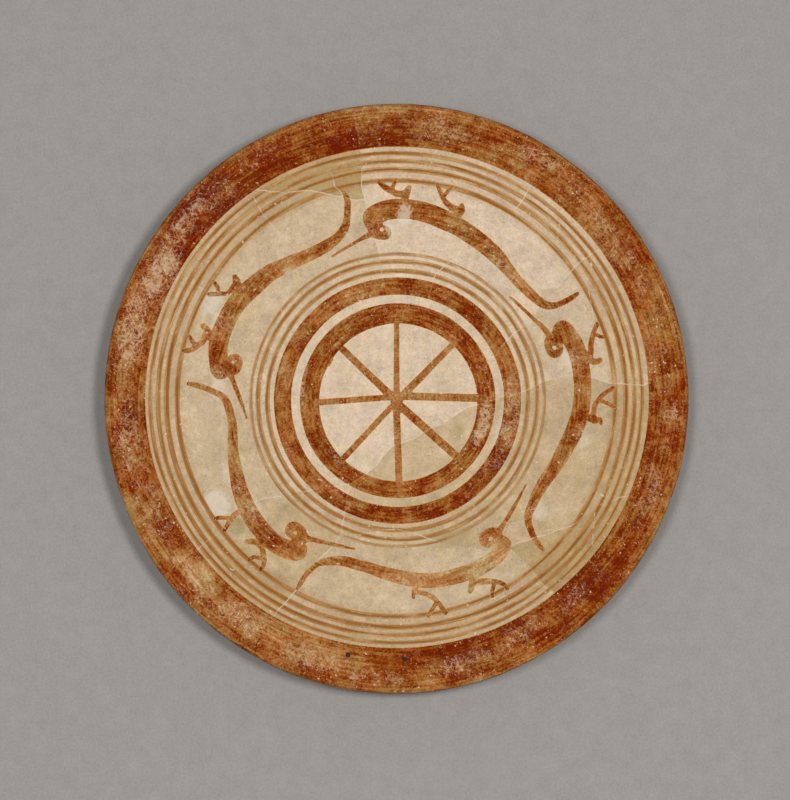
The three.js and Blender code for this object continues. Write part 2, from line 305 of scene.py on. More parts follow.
# The eight spokes cross off the middle of the tondo, and none runs quite through the same point. Each is
# (degrees, mm it starts to the right of that point as it runs out, length, half-widths at its two ends).
SPOKE_MEETING = (0.3 * MM, 1.6 * MM)
SPOKES = [(-1.5, -0.6, 42.5, 2, 2.1), (45.7, 1.5, 41, 2.1, 1.6), (90, -0.3, 39.5, 1.65, 1.35),
          (136, -1.75, 41, 2.1, 1.75), (184.1, 0.2, 42, 1.55, 1.65), (227.2, -1.2, 43.5, 1.5, 1.6),
          (272.1, 0.6, 44.5, 1.85, 1.85), (318, 2.3, 43, 2.15, 2.2)]
STRAY_STROKE = [(-34.9, 18, 0.45), (-33.2, 21.4, 0.7)]
# How much wider than its middle line a thin stroke's slip has spread, in pixels.
STROKE_SPREAD = 0.5

# Old scratches and hairline cracks in the pale clay, as strokes.
SCRATCHES = [
    [(125.5, 246, 0.5), (126, 222, 0.6), (124.3, 189, 0.4)],
    [(29.5, 220, 0.4), (26.5, 217, 0.5), (11.5, 209, 0.4)],
    [(329.8, 228, 0.4), (325.4, 237, 0.5), (322.5, 245, 0.4)],
    [(66.5, 200, 0.4), (57.5, 197, 0.4), (42.6, 189, 0.4), (34.9, 188, 0.3)],
    [(77.5, 172, 0.5), (70.5, 186, 0.5)],
    [(318, 198, 0.5), (321.5, 210, 0.5), (324.5, 226, 0.4)],
]

# Places where the paint and clay are rubbed pale or stained brown, and where the slip is thick or thin.
# Each is (degrees, mm from the middle, half its length in degrees, half its width in mm, strength).
WORN = [
    (346, 46.5, 17, 3.5, 1.5), (172, 49.6, 24, 1.6, 0.9), (8, 46, 16, 4, 0.3), (226, 43, 8, 3, 0.5),
    (350, 59, 24, 6, 0.7), (318, 75, 6, 3.5, 0.35), (90, 4, 90, 4.5, 0.7),
    (87.5, 95.5, 2.2, 5, 2.0), (92.6, 87.5, 1.6, 3, 1.6), (53, 89, 8, 5, 0.55), (97, 90, 5, 7, 0.4),
    (157, 98, 5, 6, 0.45), (152.5, 107, 3.5, 5, 0.8), (211, 107, 4, 6, 1.0),
    (217, 94, 5, 6, 0.7), (275, 93, 6, 5, 0.5), (13, 95, 4, 7, 0.6), (349, 97, 4, 6, 0.6),
    (322, 93, 3, 6, 0.7), (370, 90, 9, 6, 0.35), (300, 92, 9, 6, 0.25), (176, 93, 6, 5, 0.35),
    (205, 93, 8, 5, 0.4),
    (81, 137, 7, 6, 0.5), (97, 139, 6, 4, 0.5), (59, 142, 6, 4, 0.7), (49, 138, 5, 6, 0.35),
    (35, 137, 9, 7, 0.5), (23, 137, 6, 5, 0.4), (9, 131, 5, 3, 0.6), (356, 140, 7, 6, 0.5),
    (337, 139, 7, 5, 0.6), (312, 137, 6, 5, 0.6), (299, 135, 8, 5, 0.6), (284, 139, 8, 5, 0.75),
    (266, 143, 8, 4, 0.6), (253, 139, 7, 6, 0.65), (235, 137, 5, 6, 0.8), (222.5, 137, 5, 5, 0.7),
    (205, 138, 9, 7, 0.45), (188, 139, 10, 6, 0.6), (166, 140, 10, 7, 1.0), (152, 138, 9, 7, 1.1),
    (141, 141, 8, 4.5, 0.75), (131, 140, 6, 6, 0.4), (118, 142, 8, 3, 0.3),
]
STAINED = [
    (109, 140, 10, 2.6, 1.0), (116, 133, 9, 3, 0.5), (104.6, 113, 4.5, 7, 0.5), (121, 118, 22, 8, 0.45),
    (218.5, 105, 3, 5, 0.9), (291, 77, 10, 5, 0.7), (270, 80, 9, 4, 0.4), (330, 35, 10, 4, 0.6),
    (337, 103, 5, 5, 0.4), (307, 103, 7, 4, 0.4), (195, 97, 9, 8, 0.35), (222.5, 133, 4, 4, 0.6),
    (243, 133, 3, 3, 0.4), (165, 85, 12, 5, 0.25),
]
THICK = [
    (315, 59.5, 18, 5, 0.45), (104, 133, 14, 5, 0.4), (135, 133, 18, 5, 0.6), (134, 142, 16, 5, 0.6),
    (315, 137, 18, 9, 0.35), (281, 133, 14, 5, 0.4), (216, 117.5, 48, 8, 0.8), (205, 71, 40, 6, 0.5),
]
THIN = [
    (112, 59.5, 34, 4, 0.5), (172, 59.5, 26, 4, 0.3), (225, 59.5, 26, 5, 0.3), (357, 60, 22, 4, 0.4),
    (252, 46, 20, 5, 0.1), (110, 46, 112, 6, 0.14), (112, 59.5, 112, 6, 0.1), (248, 135, 16, 9, 0.4),
    (288, 96, 24, 9, 0.7),
    (270, 90, 10, 5, 0.35), (30, 133, 16, 6, 0.2), (66, 133, 14, 6, 0.3), (30, 59.5, 16, 5, 0.35),
    (318, 92, 6, 5, 0.3), (337, 94, 4, 5, 0.4), (126, 87, 5, 5, 0.35), (44, 87, 5, 5, 0.3),
    (222.5, 136, 6, 7, 0.8), (12, 132, 8, 4, 0.4), (90, 146, 30, 3, 0.3), (236, 136, 8, 8, 0.5),
]


def curve_share(radius, start, middle, end):
    """Where along a quadratic curve with these three radii this radius lies, from 0 to 1."""
    square = start - 2 * middle + end
    if abs(square) < 1e-9:
        return (radius - start) / (end - start)
    return (start - middle + np.sqrt((middle - start) ** 2 - square * (start - radius))) / square


def curve_height(share, start, middle, end):
    return start * (1 - share) ** 2 + 2 * middle * share * (1 - share) + end * share**2


def heights(reach, upper):
    """The height of the painted side or the underside at these unrolled distances from the middle."""
    reach = np.asarray(reach, float)
    corner_start = FLOOR_RADIUS - CORNER_BLEND
    corner_end = FLOOR_RADIUS + CORNER_BLEND
    floor = FLOOR_TOP if upper else FOOT_HEIGHT
    wall = FLOOR_TOP if upper else FLOOR_TOP - WALL_THICKNESS
    corner_share = np.clip((reach - corner_start) / (corner_end - corner_start), 0, 1)
    corner = curve_height(corner_share, floor, floor, wall + SLOPE * CORNER_BLEND)
    rim_reach = np.clip(reach, RIDGE_RADIUS, LIP_START)
    if upper:
        rim_share = curve_share(rim_reach, RIDGE_RADIUS, RIDGE_RADIUS + RIM_WIDTH / 2, LIP_START)
        rim = curve_height(rim_share, RIDGE_TOP, PLATE_TOP, PLATE_TOP)
    else:
        rim_share = curve_share(rim_reach, RIDGE_RADIUS, RIM_RADIUS - 2.6 * LIP_RADIUS, LIP_START)
        rim = curve_height(rim_share, RIDGE_TOP - WALL_THICKNESS, LIP_MIDDLE - 1.6 * LIP_RADIUS,
                           LIP_MIDDLE - LIP_RADIUS)
    round_lip = np.cos(np.clip((reach - LIP_START) / LIP_RADIUS, 0, math.pi / 2)) * LIP_RADIUS
    lip = LIP_MIDDLE + (round_lip if upper else -round_lip)
    zones = [reach < corner_start, reach < corner_end, reach < RIDGE_RADIUS, reach < LIP_START]
    return np.select(zones, [floor, corner, wall + SLOPE * (reach - FLOOR_RADIUS), rim], lip)


def rolled(points):
    """Unrolled plan points brought back round the lip and drawn oval, as drying warped the plate."""
    reach = np.maximum(np.hypot(points[:, 0], points[:, 1]), 1e-9)
    past = np.clip((reach - LIP_START) / LIP_RADIUS, 0, math.pi / 2)
    radius = np.where(reach > LIP_START, LIP_START + LIP_RADIUS * np.sin(past), reach)
    cosine_twice = (points[:, 0] ** 2 - points[:, 1] ** 2) / reach**2
    radius = radius - RIM_OVAL * (radius / RIM_RADIUS) ** 3 * cosine_twice - lip_wear(points, reach)
    return points * (radius / reach)[:, None]


def lip_wear(points, reach):
    """How far knocks and handling have worn the lip back at these places."""
    worn = np.zeros(len(points))
    for index in np.nonzero(reach > RIDGE_RADIUS)[0]:
        waves = wandering(points[index], 41, (26 * MM, 0.2 * MM), (7 * MM, 0.12 * MM))
        worn[index] = max(0.0, 0.16 * MM + waves)
    return worn * np.clip((reach - RIDGE_RADIUS) / (12 * MM), 0, 1)


def wandering(point, seed, *octaves):
    """Smooth noise at a plan point: a sum of (wavelength, amplitude) octaves."""
    return sum(size * noise.noise(Vector((point[0] / wave, point[1] / wave, seed + 3.7 * index)))
               for index, (wave, size) in enumerate(octaves))


def in_metres(points):
    """Plan points given in percent of the rim's radius."""
    return [np.array(point) * RIM_RADIUS / 100 for point in points]


def left_of(path):
    """The unit vectors that point to the left all along a path."""
    ahead = np.gradient(path, axis=0)
    return np.stack([-ahead[:, 1], ahead[:, 0]], 1) / np.hypot(*ahead.T)[:, None]


def gap_to(points, start, end):
    """How far each point is from a straight side, and how far along it the nearest place is, 0 to 1."""
    ahead = end - start
    share = np.clip(((points - start) @ ahead) / (ahead @ ahead), 0, 1)
    return np.hypot(*(points - start - share[:, None] * ahead).T), share


def fine_fracture(name):
    """A fracture in small steps, wandering from its drawn line as clay breaks, and ending on the lip."""
    drawn = in_metres(FRACTURES[name])
    points = [drawn[0]]
    for start, end in zip(drawn, drawn[1:]):
        count = max(1, round(math.dist(start, end) / FRACTURE_STEP))
        points += [start + (end - start) * step / count for step in range(1, count + 1)]
    points = np.array(points)
    along = np.concatenate([[0], np.cumsum(np.hypot(*np.diff(points, axis=0).T))])
    fade = np.clip(np.minimum(along, along[-1] - along) / (4 * MM), 0, 1)
    octaves = ((17 * MM, 1.4 * MM), (5 * MM, 0.5 * MM), (1.9 * MM, 0.22 * MM))
    shift = np.array([wandering(point, 0.5, *octaves) for point in points])
    points = points + left_of(points) * (fade * shift)[:, None]
    reach = np.hypot(*points.T)
    past = np.nonzero(reach > REACH)[0]
    if len(past) == 0:
        return points
    before, after = points[past[0] - 1], points[past[0]]
    share = (REACH - reach[past[0] - 1]) / (reach[past[0]] - reach[past[0] - 1])
    end = before + share * (after - before)
    kept = [point for point in points[:past[0]] if math.dist(point, end) > FRACTURE_STEP / 2]
    return np.array(kept + [end * REACH / np.hypot(*end)])


FINE = {name: fine_fracture(name) for name in FRACTURES}
BORES = in_metres(HOLES)


def on_rim(point):
    return np.hypot(*point) > REACH - 1e-7


def on_bore(point):
    return any(abs(math.dist(point, bore) - HOLE_RADIUS) < 1e-7 for bore in BORES)


def circle_points(middle, radius, start, end, step):
    """Points on a circle between two angles in radians, ends left out."""
    count = max(2, math.ceil(abs(end - start) * radius / step))
    angles = start + (end - start) * np.arange(1, count) / count
    return [middle + radius * np.array([math.cos(angle), math.sin(angle)]) for angle in angles]


def angle_of(point):
    return math.atan2(point[1], point[0])


def round_bore(points):
    """The outline taken round any bore that it crosses, with the bore on its right."""
    for bore in BORES:
        inside = [index for index, point in enumerate(points) if math.dist(point, bore) < HOLE_RADIUS]
        if not inside:
            continue
        first, last = inside[0], inside[-1]
        ends = []
        for near, far in ((points[first], points[first - 1]), (points[last], points[last + 1])):
            towards = far - bore
            ends.append(bore + towards / np.hypot(*towards) * HOLE_RADIUS)
        start = angle_of(ends[0] - bore)
        end = start - (start - angle_of(ends[1] - bore)) % (2 * math.pi)
        arc = circle_points(bore, HOLE_RADIUS, start, end, 0.25 * MM)
        points = points[:first] + [ends[0]] + arc + [ends[1]] + points[last + 1:]
    return points


def outline(walk):
    """A sherd's plan outline, anticlockwise, round the rim between two fractures that reach it."""
    points = []
    for step in walk.split():
        run = list(FINE[step.strip("-")])
        if step.startswith("-"):
            run.reverse()
        if points and on_rim(points[-1]) and on_rim(run[0]):
            start = angle_of(points[-1])
            end = start + (angle_of(run[0]) - start) % (2 * math.pi)
            points += circle_points(np.zeros(2), REACH, start, end, 1.2 * MM)
        points += run[1:] if points and math.dist(points[-1], run[0]) < 1e-7 else run
    if math.dist(points[0], points[-1]) < 1e-7:
        points.pop()
    return drawn_in(round_bore(points))


def drawn_in(points):
    """The outline moved in by half a join along its fractures, and left where it is on rim and bores."""
    moved = []
    for index, point in enumerate(points):
        before, after = points[index - 1], points[(index + 1) % len(points)]
        sides = []
        for start, end in ((before, point), (point, after)):
            ahead = (end - start) / math.dist(start, end)
            kept = (on_rim(start) and on_rim(end)) or (on_bore(start) and on_bore(end))
            sides.append((np.array([-ahead[1], ahead[0]]), 0.0 if kept else JOIN_WIDTH / 2))
        (inward_a, depth_a), (inward_b, depth_b) = sides
        cross = inward_a[0] * inward_b[1] - inward_a[1] * inward_b[0]
        if abs(cross) < 0.1:
            shift = (inward_a + inward_b) * (depth_a + depth_b) / 4
        else:
            shift = np.array([depth_a * inward_b[1] - depth_b * inward_a[1],
                              depth_b * inward_a[0] - depth_a * inward_b[0]]) / cross
        moved.append(point + shift)
    return np.array(moved)


def side_distances(points, loop):
    """How far each point is from the outline, and whether it is inside."""
    nearest = np.full(len(points), 1.0)
    inside = np.zeros(len(points), bool)
    for start, end in zip(loop, np.roll(loop, -1, axis=0)):
        ahead = end - start
        nearest = np.minimum(nearest, gap_to(points, start, end)[0])
        spans = (start[1] > points[:, 1]) != (end[1] > points[:, 1])
        if ahead[1] != 0:
            crossing = start[0] + ahead[0] * (points[:, 1] - start[1]) / ahead[1]
            inside ^= spans & (points[:, 0] < crossing)
    return nearest, inside


def ring_points(spacing_at):
    """Points in rings round the plate, each ring and its points as far apart as is asked for there."""
    points = [np.zeros((1, 2))]
    reach = spacing_at(0)
    turn = 0.0
    while reach < REACH - 0.3 * spacing_at(reach):
        count = max(6, round(2 * math.pi * reach / spacing_at(reach)))
        angles = 2 * math.pi * (np.arange(count) + turn) / count
        points.append(reach * np.stack([np.cos(angles), np.sin(angles)], 1))
        reach += spacing_at(reach)
        turn = 0.5 - turn
    return np.concatenate(points)


def top_spacing(reach):
    in_frieze = 75 * MM < reach < 114 * MM
    in_tondo = reach < 44 * MM
    return FRIEZE_SPACING if in_frieze or in_tondo else TOP_SPACING


def smoothed(stroke, spread=0):
    """A stroke's points, half-widths with them, on a smooth curve through the drawn ones, in metres."""
    drawn = np.array([(*polar(distance * PIXEL, degrees), (width + spread) * PIXEL)
                      for degrees, distance, width in stroke])
    ends = np.concatenate([[2 * drawn[0] - drawn[1]], drawn, [2 * drawn[-1] - drawn[-2]]])
    path = []
    for before, start, end, after in zip(ends, ends[1:], ends[2:], ends[3:]):
        count = max(2, round(math.dist(start[:2], end[:2]) / (1.2 * MM)))
        for share in np.arange(count) / count:
            bend = (2 * before - 5 * start + 4 * end - after) * share**2
            twist = (3 * start - before - 3 * end + after) * share**3
            path.append((2 * start + (end - before) * share + bend + twist) / 2)
    return np.array(path + [drawn[-1]])


def depth_in(points, strokes):
    """How far inside the nearest stroke each point is; negative outside."""
    depth = np.full(len(points), FAR_OUTSIDE)
    for stroke in strokes:
        for start, end in zip(stroke, stroke[1:]):
            gap, share = gap_to(points, start[:2], end[:2])
            depth = np.maximum(depth, start[2] + share * (end[2] - start[2]) - gap)
    return depth


def heron_strokes():
    strokes = []
    for heron in HERONS.values():
        strokes += [smoothed(heron["body"]), smoothed(heron["beak"], STROKE_SPREAD / 2)]
        strokes += [smoothed(stroke, STROKE_SPREAD) for stroke in heron["legs"]]
    return strokes


def spoke_strokes():
    strokes = []
    for degrees, aside, length, near, far in SPOKES:
        start = np.array(SPOKE_MEETING) + polar(aside * MM, degrees - 90)
        end = start + np.array(polar(length * MM, degrees))
        strokes.append(np.array([(*start, near * MM), (*end, far * MM)]))
    strokes.append(np.array(STRAY_STROKE) * MM)
    return strokes


HERON_STROKES = heron_strokes()
SPOKE_STROKES = spoke_strokes()
SCRATCH_STROKES = [smoothed(stroke) for stroke in SCRATCHES]


def patchy(points, patches):
    """How deep each point lies in these oval patches, from 0 outside them all."""
    reach = np.hypot(*points.T)
    turn = np.degrees(np.arctan2(points[:, 1], points[:, 0]))
    depth = np.zeros(len(points))
    for degrees, middle, half_turn, half_width, amount in patches:
        along = ((turn - degrees + 180) % 360 - 180) / half_turn
        away = np.hypot(along, (reach / MM - middle) / half_width)
        share = np.clip(1.5 - away, 0, 1)
        depth = np.maximum(depth, amount * share**2 * (3 - 2 * share))
    return depth


def paint_marks(points):
    """What the surface material reads at each point of the painted side, by name."""
    return {
        "heron": np.minimum(depth_in(points, HERON_STROKES), -depth_in_eyes(points)),
        "spoke": depth_in(points, SPOKE_STROKES),
        "scratch": depth_in(points, SCRATCH_STROKES),
        "worn": patchy(points, WORN),
        "stained": patchy(points, STAINED),
        "thin": patchy(points, THIN) - patchy(points, THICK),
        "painted_side": np.ones(len(points)),
    }


def bare_marks(points):
    """The same on the underside, where none of it is."""
    outside = np.full(len(points), FAR_OUTSIDE)
    nothing = np.zeros(len(points))
    return {"heron": outside, "spoke": outside, "scratch": outside, "worn": nothing, "stained": nothing,
            "thin": nothing, "painted_side": nothing}


def stroke_points():
    """Mesh points down the middle and both edges of every stroke, so that thin ones keep their shape."""
    points = [stroke[:, :2] for stroke in SCRATCH_STROKES]
    for stroke in HERON_STROKES:
        across = left_of(stroke[:, :2])
        for side in (0, -1, 1):
            points.append(stroke[:, :2] + across * stroke[:, 2:] * side)
    points = np.concatenate(points)
    cells = np.unique(np.round(points / (0.35 * MM)), axis=0, return_index=True)[1]
    return points[cells]


def thinned(points, kept, clearance):
    """These points without those that crowd the kept ones."""
    cells = {tuple(cell) for cell in np.round(kept / clearance).astype(int)}
    near = [any((x + i, y + j) in cells for i in (-1, 0, 1) for j in (-1, 0, 1))
            for x, y in np.round(points / clearance).astype(int)]
    return points[~np.array(near)]


STROKE_POINTS = stroke_points()
TOP_POINTS = np.concatenate([STROKE_POINTS, thinned(ring_points(top_spacing), STROKE_POINTS, 0.3 * MM)])
UNDER_POINTS = ring_points(lambda reach: UNDER_SPACING)


def triangulated(loop, bores, candidates, clearance):
    """Triangles over an outline with its bores left open. The outline's and bores' points come first."""
    distance, inside = side_distances(candidates, loop)
    kept = candidates[inside & (distance > clearance)]
    for bore in bores:
        kept = kept[np.hypot(*(kept - bore.mean(0)).T) > HOLE_RADIUS + clearance]
    rings = [loop, *bores]
    sides = []
    count = 0
    for ring in rings:
        sides += [(count + i, count + (i + 1) % len(ring)) for i in range(len(ring))]
        count += len(ring)
    points = np.concatenate([*rings, kept]) / MM
    whole = [list(range(len(loop)))]
    made = geometry.delaunay_2d_cdt([Vector(point) for point in points], sides, whole, 1, 1e-6)
    points = np.array([tuple(point) for point in made[0]]) * MM
    faces = np.array([face for face in made[2] if len(face) == 3])
    middles = points[faces].mean(1)
    for bore in bores:
        open_here = np.hypot(*(middles - bore.mean(0)).T) < HOLE_RADIUS * 0.98
        faces, middles = faces[~open_here], middles[~open_here]
    a, b, c = (points[faces[:, k]] for k in range(3))
    turned = (b[:, 0] - a[:, 0]) * (c[:, 1] - a[:, 1]) - (b[:, 1] - a[:, 1]) * (c[:, 0] - a[:, 0]) < 0
    faces[turned] = faces[turned][:, ::-1]
    return points, faces, rings


def relief(points, join_distance):
    """How far the painted side lies below its turned form: waves, throwing marks and chipped joins."""
    reach = np.hypot(*points.T)
    lowered = []
    for point, radius, gap in zip(points, reach, join_distance):
        waves = 0.5 + wandering(point, 11, (60 * MM, 0.4), (21 * MM, 0.1))
        turned = 2 * math.pi * radius / THROWING_PITCH + wandering(point, 5, (40 * MM, 4))
        marks = 0.5 + 0.5 * math.sin(turned)
        broken = max(0.0, wandering(point, 23, (2.6 * MM, 0.8), (0.9 * MM, 0.5)))
        chip = max(0.0, 1 - gap / CHIP_REACH) * broken
        on_wall = min(1.0, max(0.0, (radius - FLOOR_RADIUS) / (8 * MM)))
        uneven = WAVE_DEPTH * waves + MARK_DEPTH * marks * (0.4 + 0.6 * on_wall)
        lowered.append(uneven + CHIP_DEPTH * chip)
    fade = np.clip((REACH - reach) / (6 * MM), 0, 1)
    return np.array(lowered) * fade


def shown_joins(sides):
    """These points of an outline without those on the joins that hardly show."""
    faint = np.concatenate([FINE[name] for name in FAINT_JOINS])
    return sides[nearest_of(sides, faint) > JOIN_WIDTH]


def in_scene(name, data):
    """A new object of this name in the scene."""
    placed = bpy.data.objects.new(name, data)
    bpy.context.scene.collection.objects.link(placed)
    return placed


def new_mesh(name, points, faces, marks, material):
    """A smooth mesh object, with the marks that its material reads at each point."""
    mesh = bpy.data.meshes.new(name)
    mesh.from_pydata([tuple(point) for point in points], [], faces)
    for label, values in marks.items():
        layer = mesh.attributes.new(label, "FLOAT", "POINT")
        layer.data.foreach_set("value", np.asarray(values, np.float32))
    mesh.materials.append(material)
    mesh.polygons.foreach_set("use_smooth", np.ones(len(mesh.polygons), bool))
    mesh.update()
    mesh.set_sharp_from_angle(angle=math.radians(42))
    return in_scene(name, mesh)


def stand_in(name, points, faces, marks, material):
    """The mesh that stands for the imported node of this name, on the plate's one body."""
    piece = new_mesh(name + "_clay", points, faces, marks, material)
    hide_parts(name)
    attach(piece, "root")
    return piece


def whole_bores(loop):
    """The bores that lie wholly inside an outline, each as a ring of points."""
    distances, inside = side_distances(np.array(BORES), loop)
    turn = 2 * math.pi * (BORE_SIDES + 1) / BORE_SIDES
    step = 2 * math.pi * HOLE_RADIUS / BORE_SIDES
    return [np.array(circle_points(bore, HOLE_RADIUS, 0, turn, step))
            for bore, distance, whole in zip(BORES, distances, inside)
            if whole and distance > HOLE_RADIUS * 1.05]


def sherd_faces(top_faces, under_faces, below, rings):
    """A sherd's faces: both its sides, and the walls between them round its outline and bores."""
    faces = [tuple(face) for face in top_faces]
    faces += [tuple(below[corner] for corner in face[::-1]) for face in under_faces]
    start = 0
    for order, ring in enumerate(rings):
        for side in range(len(ring)):
            here, there = start + side, start + (side + 1) % len(ring)
            wall = (below[here], below[there], there, here)
            wall = tuple(dict.fromkeys(wall if order == 0 else wall[::-1]))
            if len(wall) > 2:
                faces.append(wall)
        start += len(ring)
    return faces


def sherd_marks(top, under, places, join_sides, number, inner_age, outer_age, fade):
    """What the surface material reads at each point of a sherd, by name."""
    above, below = paint_marks(top), bare_marks(under)
    marks = {label: np.concatenate([above[label], below[label]]) for label in above}
    marks["join"] = nearest_of(np.concatenate([top, under]), shown_joins(join_sides))
    outward = np.clip((np.hypot(*places[:, :2].T) - AGE_START) / AGE_STRETCH, 0, 1)
    marks["age"] = inner_age + (outer_age - inner_age) * outward
    marks["fade"] = np.full(len(places), fade)
    marks["sherd"] = np.full(len(places), float(number))
    return marks


def sherd_mesh(name, walk, inner_age, outer_age, fade, number, material):
    """One sherd as a closed body: painted side, underside, and the fractured sides between them."""
    loop = outline(walk)
    bores = whole_bores(loop)
    top, top_faces, rings = triangulated(loop, bores, TOP_POINTS, 0.4 * MM)
    under, under_faces, _ = triangulated(loop, bores, UNDER_POINTS, 1.1 * MM)
    join_sides = loop[[not on_rim(point) for point in loop]]
    top_height = heights(np.hypot(*top.T), True) - relief(top, nearest_of(top, join_sides))
    under_height = heights(np.hypot(*under.T), False)
    places = np.concatenate([np.column_stack([rolled(top), top_height]),
                             np.column_stack([rolled(under), under_height])])
    shared = {index: index for index, point in enumerate(top[:len(loop)]) if on_rim(point)}
    below = [shared.get(index, len(top) + index) for index in range(len(under))]
    faces = sherd_faces(top_faces, under_faces, below, rings)
    marks = sherd_marks(top, under, places, join_sides, number, inner_age, outer_age, fade)
    return stand_in(name, *without_loose(places, faces, marks), material)


def without_loose(places, faces, marks):
    """The mesh without the points that no face uses."""
    used = np.zeros(len(places), bool)
    for face in faces:
        used[list(face)] = True
    number = np.cumsum(used) - 1
    faces = [tuple(int(number[corner]) for corner in face) for face in faces]
    return places[used], faces, {label: values[used] for label, values in marks.items()}


def nearest_of(points, others):
    """The distance from each point to the nearest of the others, as far as joins reach."""
    nearest = np.full(len(points), JOIN_REACH)
    for other in others:
        near = np.abs(points - other).max(1) < JOIN_REACH
        nearest[near] = np.minimum(nearest[near], np.hypot(*(points[near] - other).T))
    return nearest


def depth_in_eyes(points):
    depth = np.full(len(points), FAR_OUTSIDE)
    for heron in HERONS.values():
        degrees, distance, size = heron["eye"]
        middle = np.array(polar(distance * PIXEL, degrees))
        depth = np.maximum(depth, size * PIXEL - np.hypot(*(points - middle).T))
    return depth


def crossing_angle(name, radius):
    """The angle at which a fracture of the floor, carried straight on, crosses a circle under it."""
    limit = FOOT_RADIUS + 8 * MM
    points = in_metres(FRACTURES[name])
    end = np.array(polar(limit, math.degrees(angle_of(points[-1]))))
    path = [point for point in points if np.hypot(*point) < limit] + [end]
    for start, end in zip(path, path[1:]):
        if np.hypot(*start) <= radius <= np.hypot(*end):
            share = (radius - np.hypot(*start)) / (np.hypot(*end) - np.hypot(*start))
            return angle_of(start + share * (end - start))
    return angle_of(path[-1])


def foot_section():
    """The foot's section as (radius, height) points, with a worn, rounded resting face."""
    inner = FOOT_RADIUS - FOOT_WIDTH
    top = FOOT_HEIGHT - LUTING_GAP
    worn = 1.2 * MM
    points = [(inner + FOOT_TAPER, top)]
    points += [(inner + 0.25 * MM * math.sin(math.pi * k / 4), top - (top - worn) * k / 4)
               for k in range(1, 4)]
    points += [(inner + worn * (1 - math.sin(a)), worn * (1 - math.cos(a)))
               for a in np.linspace(math.pi / 2, 0, 5)]
    points += [(FOOT_RADIUS - worn * (1 - math.sin(a)), worn * (1 - math.cos(a)))
               for a in np.linspace(0, math.pi / 2, 5)]
    points += [(FOOT_RADIUS - FOOT_TAPER * k / 4, worn + (top - worn) * k / 4) for k in range(1, 5)]
    flat = FOOT_WIDTH - 2 * FOOT_TAPER
    points += [(FOOT_RADIUS - FOOT_TAPER - flat * k / 4, top) for k in range(1, 4)]
    return points


def foot_places(section, start, end, steps):
    """The foot's section carried from one fracture to the other, wandering as a coil of clay does."""
    places = []
    for step in range(steps + 1):
        for radius, height in section:
            gap = JOIN_WIDTH / 2 / radius
            first = crossing_angle(start, radius) + gap
            sweep = (crossing_angle(end, radius) - gap - first) % (2 * math.pi)
            angle = first + sweep * step / steps
            octaves = ((30 * MM, 0.25 * MM), (6 * MM, 0.08 * MM))
            wobble = wandering(polar(radius, math.degrees(angle)), 31, *octaves)
            out = radius - (abs(wobble) if radius > FOOT_RADIUS - FOOT_WIDTH / 2 else -abs(wobble))
            places.append((out * math.cos(angle), out * math.sin(angle), height))
    return places


def foot_mesh(name, start, end, material):
    """One arc of the foot ring, its ends on the fractures that also part the floor."""
    section = foot_section()
    middle_start, middle_end = crossing_angle(start, FOOT_RADIUS), crossing_angle(end, FOOT_RADIUS)
    steps = math.ceil((middle_end - middle_start) % (2 * math.pi) * FOOT_RADIUS / FOOT_STEP)
    places = foot_places(section, start, end, steps)
    size = len(section)
    faces = []
    for step in range(steps):
        for side in range(size):
            a, b = step * size + side, step * size + (side + 1) % size
            faces.append((a, b, b + size, a + size))
    faces.append(tuple(range(size))[::-1])
    faces.append(tuple(range(steps * size, (steps + 1) * size)))
    return stand_in(name, places, faces, {}, material)


def film_edges(path):
    """The four edges of one join's strip of film, as plan points and heights."""
    reach = np.minimum(np.hypot(*path.T), REACH - 0.25 * MM)
    middle = path * (reach / np.hypot(*path.T))[:, None]
    top = heights(reach, True) - relief(middle, np.zeros(len(middle))) - FILM_SUNK
    under = heights(reach, False) + FILM_SUNK
    edges = ((1, top), (-1, top), (-1, under), (1, under))
    return [(middle + left_of(path) * FILM_HALF_WIDTH * side, height) for side, height in edges]


def strip_faces(start, count):
    """The faces of a strip with four edges of this many points, numbered on from the start."""
    corners = [start + edge * count for edge in range(4)]
    faces = [(a + step, a + step + 1, b + step + 1, b + step)
             for step in range(count - 1) for a, b in zip(corners, corners[1:] + corners[:1])]
    return faces + [tuple(corners[::-1]), tuple(corner + count - 1 for corner in corners)]


def adhesive_mesh(material):
    """The film of adhesive in every join, a little below the clay on both sides and toned to match."""
    places, faces, plan_points = [], [], []
    for path in FINE.values():
        faces += strip_faces(len(places), len(path))
        for plan, height in film_edges(path):
            plan_points.append(plan)
            places += [(*point, level) for point, level in zip(rolled(plan), height)]
    marks = paint_marks(np.concatenate(plan_points))
    for label, value in (("join", 0.0), ("age", 0.4), ("fade", 0.4), ("sherd", 0.0)):
        marks[label] = np.full(len(places), value)
    piece = new_mesh("join_adhesive", places, faces, marks, material)
    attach(piece, "root")
    return piece


class Field:
    """One output of a shader node, so that a surface can be written as a formula."""

    def __init__(self, tree, socket):
        self.tree = tree
        self.socket = socket

    def math(self, operation, *others):
        return made(self.tree, "Math", dict(enumerate((self, *others))), operation=operation)

    def __add__(self, other):
        return self.math("ADD", other)

    def __sub__(self, other):
        return self.math("SUBTRACT", other)

    def __mul__(self, other):
        return self.math("MULTIPLY", other)

    def __truediv__(self, other):
        return self.math("DIVIDE", other)

    def rest(self):
        """What is left of it up to 1."""
        return (self * -1.0) + 1.0

    def over(self, other):
        """The larger of the two."""
        return self.math("MAXIMUM", other)

    def rise(self, low, high):
        """0 below the low value, 1 above the high one, and smooth between them."""
        return made(self.tree, "MapRange", {0: self, 1: low, 2: high}, interpolation_type="SMOOTHSTEP")


def feed(tree, slots, values):
    """Links fields to a node's slots, by number or name, and writes plain numbers into them."""
    for slot, value in values.items():
        if isinstance(value, Field):
            tree.links.new(value.socket, slots[slot])
        else:
            slots[slot].default_value = value


